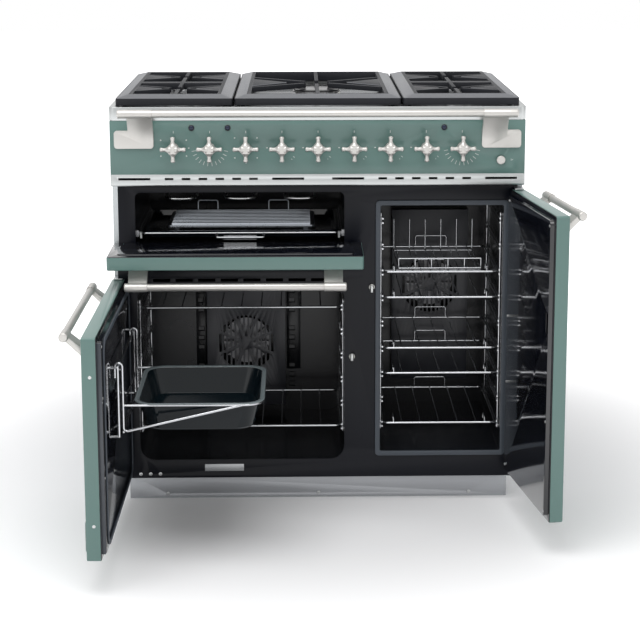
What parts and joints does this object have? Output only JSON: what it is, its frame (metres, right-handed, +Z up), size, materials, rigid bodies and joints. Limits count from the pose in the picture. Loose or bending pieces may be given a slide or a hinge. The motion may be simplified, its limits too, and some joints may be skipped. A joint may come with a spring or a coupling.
{
  "type": "range cooker with double oven",
  "caption": "Freestanding range cooker: gas hob with cast pan supports, knob fascia and handrail, grill compartment, wide oven and tall oven with hinged doors, shelves and roasting tin.",
  "frame": {"origin": "middle of the cabinet footprint, on the floor under the base frame", "axes": "+X to the right, +Y to the back, +Z up; the doors open towards -Y"},
  "size_m": [1.0485, 1.1511, 0.929],
  "materials": {
    "green_enamel": "semi-gloss",
    "black_enamel": "gloss",
    "cast_iron": "matt enamel",
    "brushed_steel": "brushed",
    "satin_nickel": "satin",
    "chrome_wire": "bright",
    "galvanised": "galvanised",
    "aluminium": "cast, satin",
    "brass": "turned",
    "seal": "matt",
    "lens": "gloss",
    "foot_plastic": "matt",
    "steel_bright": "bright zinc"
  },
  "bodies": {
    "cabinet": {"base_frame": "galvanised", "levelling_feet": "steel_bright", "plinth": "brushed_steel", "cabinet_panels": "galvanised", "front_frame": "black_enamel", "main_oven_cavity": "black_enamel", "grill_cavity": "black_enamel", "tall_oven_cavity": "black_enamel", "fan_covers": "black_enamel", "oven_motors_and_elements": "steel_bright", "side_racks_and_runners": "chrome_wire", "tall_oven_gasket": "seal", "control_panel": "green_enamel", "vent_strip": "brushed_steel", "hob_tray": "brushed_steel", "burner_heads": "aluminium", "burner_caps": "cast_iron", "gas_rail_and_taps": "brass", "indicator_lenses": "lens", "mains_box": "foot_plastic", "handrail": "satin_nickel", "hinges_catches_and_screws": "steel_bright"},
    "main_oven_door": {"main_door_shell": "green_enamel", "main_door_liner": "black_enamel", "main_door_gasket": "seal", "main_door_handle": "satin_nickel", "main_door_rack": "chrome_wire"},
    "roasting_carrier": {"roasting_carrier": "chrome_wire"},
    "roasting_tin": {"roasting_tin": "black_enamel"},
    "tall_oven_door": {"tall_door_shell": "green_enamel", "tall_door_liner": "black_enamel", "tall_door_handle": "satin_nickel"},
    "grill_door": {"grill_door_shell": "green_enamel", "grill_door_liner": "black_enamel", "grill_door_handle": "satin_nickel"},
    "grill_carrier": {"grill_carrier": "chrome_wire"},
    "grill_pan": {"grill_pan": "black_enamel", "grill_trivet": "cast_iron"},
    "main_shelf_lower": {"main_shelf_lower": "chrome_wire"},
    "main_shelf_upper": {"main_shelf_upper": "chrome_wire"},
    "main_oven_fan": {"main_oven_fan": "steel_bright"},
    "tall_oven_fan": {"tall_oven_fan": "steel_bright"},
    "light_button": {"light_button": "satin_nickel"},
    "pan_support_left": {"pan_support_left": "cast_iron"},
    "pan_support_centre": {"pan_support_centre": "cast_iron"},
    "pan_support_right": {"pan_support_right": "cast_iron"},
    "tall_shelf_1": {"tall_shelf_1": "chrome_wire"},
    "tall_shelf_2": {"tall_shelf_2": "chrome_wire"},
    "tall_shelf_3": {"tall_shelf_3": "chrome_wire"},
    "tall_shelf_4": {"tall_shelf_4": "chrome_wire"},
    "tall_shelf_5": {"tall_shelf_5": "chrome_wire"},
    "knob_1": {"knob_1": "satin_nickel"},
    "knob_2": {"knob_2": "satin_nickel"},
    "knob_3": {"knob_3": "satin_nickel"},
    "knob_4": {"knob_4": "satin_nickel"},
    "knob_5": {"knob_5": "satin_nickel"},
    "knob_6": {"knob_6": "satin_nickel"},
    "knob_7": {"knob_7": "satin_nickel"},
    "knob_8": {"knob_8": "satin_nickel"},
    "knob_9": {"knob_9": "satin_nickel"}
  },
  "joints": [
    {"name": "main_door_hinge", "type": "hinge", "parent": "cabinet", "child": "main_oven_door", "pos_m": [-0.44, -0.282, 0.3], "axis": [0, 0, -1], "range_deg": [-90.5, 9.5]},
    {"name": "tall_door_hinge", "type": "hinge", "parent": "cabinet", "child": "tall_oven_door", "pos_m": [0.44, -0.282, 0.4], "axis": [0, 0, 1], "range_deg": [-98, 7]},
    {"name": "grill_door_hinge", "type": "hinge", "parent": "cabinet", "child": "grill_door", "pos_m": [0, -0.29, 0.5795], "axis": [1, 0, 0], "range_deg": [-90, 0]},
    {"name": "roasting_carrier_lift", "type": "slide", "parent": "main_oven_door", "child": "roasting_carrier", "axis": [0, 0, 1], "range_m": [0, 0.025]},
    {"name": "roasting_tin_lift", "type": "slide", "parent": "roasting_carrier", "child": "roasting_tin", "axis": [0, 0, 1], "range_m": [0, 0.06]},
    {"name": "grill_carrier_slide", "type": "slide", "parent": "cabinet", "child": "grill_carrier", "axis": [0, -1, 0], "range_m": [0, 0.2]},
    {"name": "grill_pan_lift", "type": "slide", "parent": "grill_carrier", "child": "grill_pan", "axis": [0, 0, 1], "range_m": [0, 0.025]},
    {"name": "main_shelf_lower_slide", "type": "slide", "parent": "cabinet", "child": "main_shelf_lower", "axis": [0, -1, 0], "range_m": [0, 0.19]},
    {"name": "main_shelf_upper_slide", "type": "slide", "parent": "cabinet", "child": "main_shelf_upper", "axis": [0, -1, 0], "range_m": [0, 0.19]},
    {"name": "tall_shelf_1_slide", "type": "slide", "parent": "cabinet", "child": "tall_shelf_1", "axis": [0, -1, 0], "range_m": [0, 0.19]},
    {"name": "tall_shelf_2_slide", "type": "slide", "parent": "cabinet", "child": "tall_shelf_2", "axis": [0, -1, 0], "range_m": [0, 0.19]},
    {"name": "tall_shelf_3_slide", "type": "slide", "parent": "cabinet", "child": "tall_shelf_3", "axis": [0, -1, 0], "range_m": [0, 0.19]},
    {"name": "tall_shelf_4_slide", "type": "slide", "parent": "cabinet", "child": "tall_shelf_4", "axis": [0, -1, 0], "range_m": [0, 0.19]},
    {"name": "tall_shelf_5_slide", "type": "slide", "parent": "cabinet", "child": "tall_shelf_5", "axis": [0, -1, 0], "range_m": [0, 0.19]},
    {"name": "main_oven_fan_spin", "type": "hinge", "parent": "cabinet", "child": "main_oven_fan", "pos_m": [-0.172, 0.12, 0.283], "axis": [0, 1, 0], "continuous": true},
    {"name": "tall_oven_fan_spin", "type": "hinge", "parent": "cabinet", "child": "tall_oven_fan", "pos_m": [0.274, 0.12, 0.427], "axis": [0, 1, 0], "continuous": true},
    {"name": "knob_1_turn", "type": "hinge", "parent": "cabinet", "child": "knob_1", "pos_m": [-0.3116, -0.315, 0.8165], "axis": [0, -1, 0], "range_deg": [-180, 90]},
    {"name": "knob_2_turn", "type": "hinge", "parent": "cabinet", "child": "knob_2", "pos_m": [-0.2337, -0.315, 0.8165], "axis": [0, -1, 0], "range_deg": [0, 270]},
    {"name": "knob_3_turn", "type": "hinge", "parent": "cabinet", "child": "knob_3", "pos_m": [-0.1558, -0.315, 0.8165], "axis": [0, -1, 0], "range_deg": [-90, 180]},
    {"name": "knob_4_turn", "type": "hinge", "parent": "cabinet", "child": "knob_4", "pos_m": [-0.0779, -0.315, 0.8165], "axis": [0, -1, 0], "range_deg": [-240, 0]},
    {"name": "knob_5_turn", "type": "hinge", "parent": "cabinet", "child": "knob_5", "pos_m": [0, -0.315, 0.8165], "axis": [0, -1, 0], "range_deg": [-240, 0]},
    {"name": "knob_6_turn", "type": "hinge", "parent": "cabinet", "child": "knob_6", "pos_m": [0.0779, -0.315, 0.8165], "axis": [0, -1, 0], "range_deg": [-240, 0]},
    {"name": "knob_7_turn", "type": "hinge", "parent": "cabinet", "child": "knob_7", "pos_m": [0.1558, -0.315, 0.8165], "axis": [0, -1, 0], "range_deg": [-240, 0]},
    {"name": "knob_8_turn", "type": "hinge", "parent": "cabinet", "child": "knob_8", "pos_m": [0.2337, -0.315, 0.8165], "axis": [0, -1, 0], "range_deg": [-240, 0]},
    {"name": "knob_9_turn", "type": "hinge", "parent": "cabinet", "child": "knob_9", "pos_m": [0.3116, -0.315, 0.8165], "axis": [0, -1, 0], "range_deg": [0, 270]},
    {"name": "light_button_press", "type": "slide", "parent": "cabinet", "child": "light_button", "axis": [0, 1, 0], "range_m": [0, 0.003], "stiffness_N_per_m": 400},
    {"name": "pan_support_left_lift", "type": "slide", "parent": "cabinet", "child": "pan_support_left", "axis": [0, 0, 1], "range_m": [0, 0.06]},
    {"name": "pan_support_centre_lift", "type": "slide", "parent": "cabinet", "child": "pan_support_centre", "axis": [0, 0, 1], "range_m": [0, 0.06]},
    {"name": "pan_support_right_lift", "type": "slide", "parent": "cabinet", "child": "pan_support_right", "axis": [0, 0, 1], "range_m": [0, 0.06]}
  ]
}
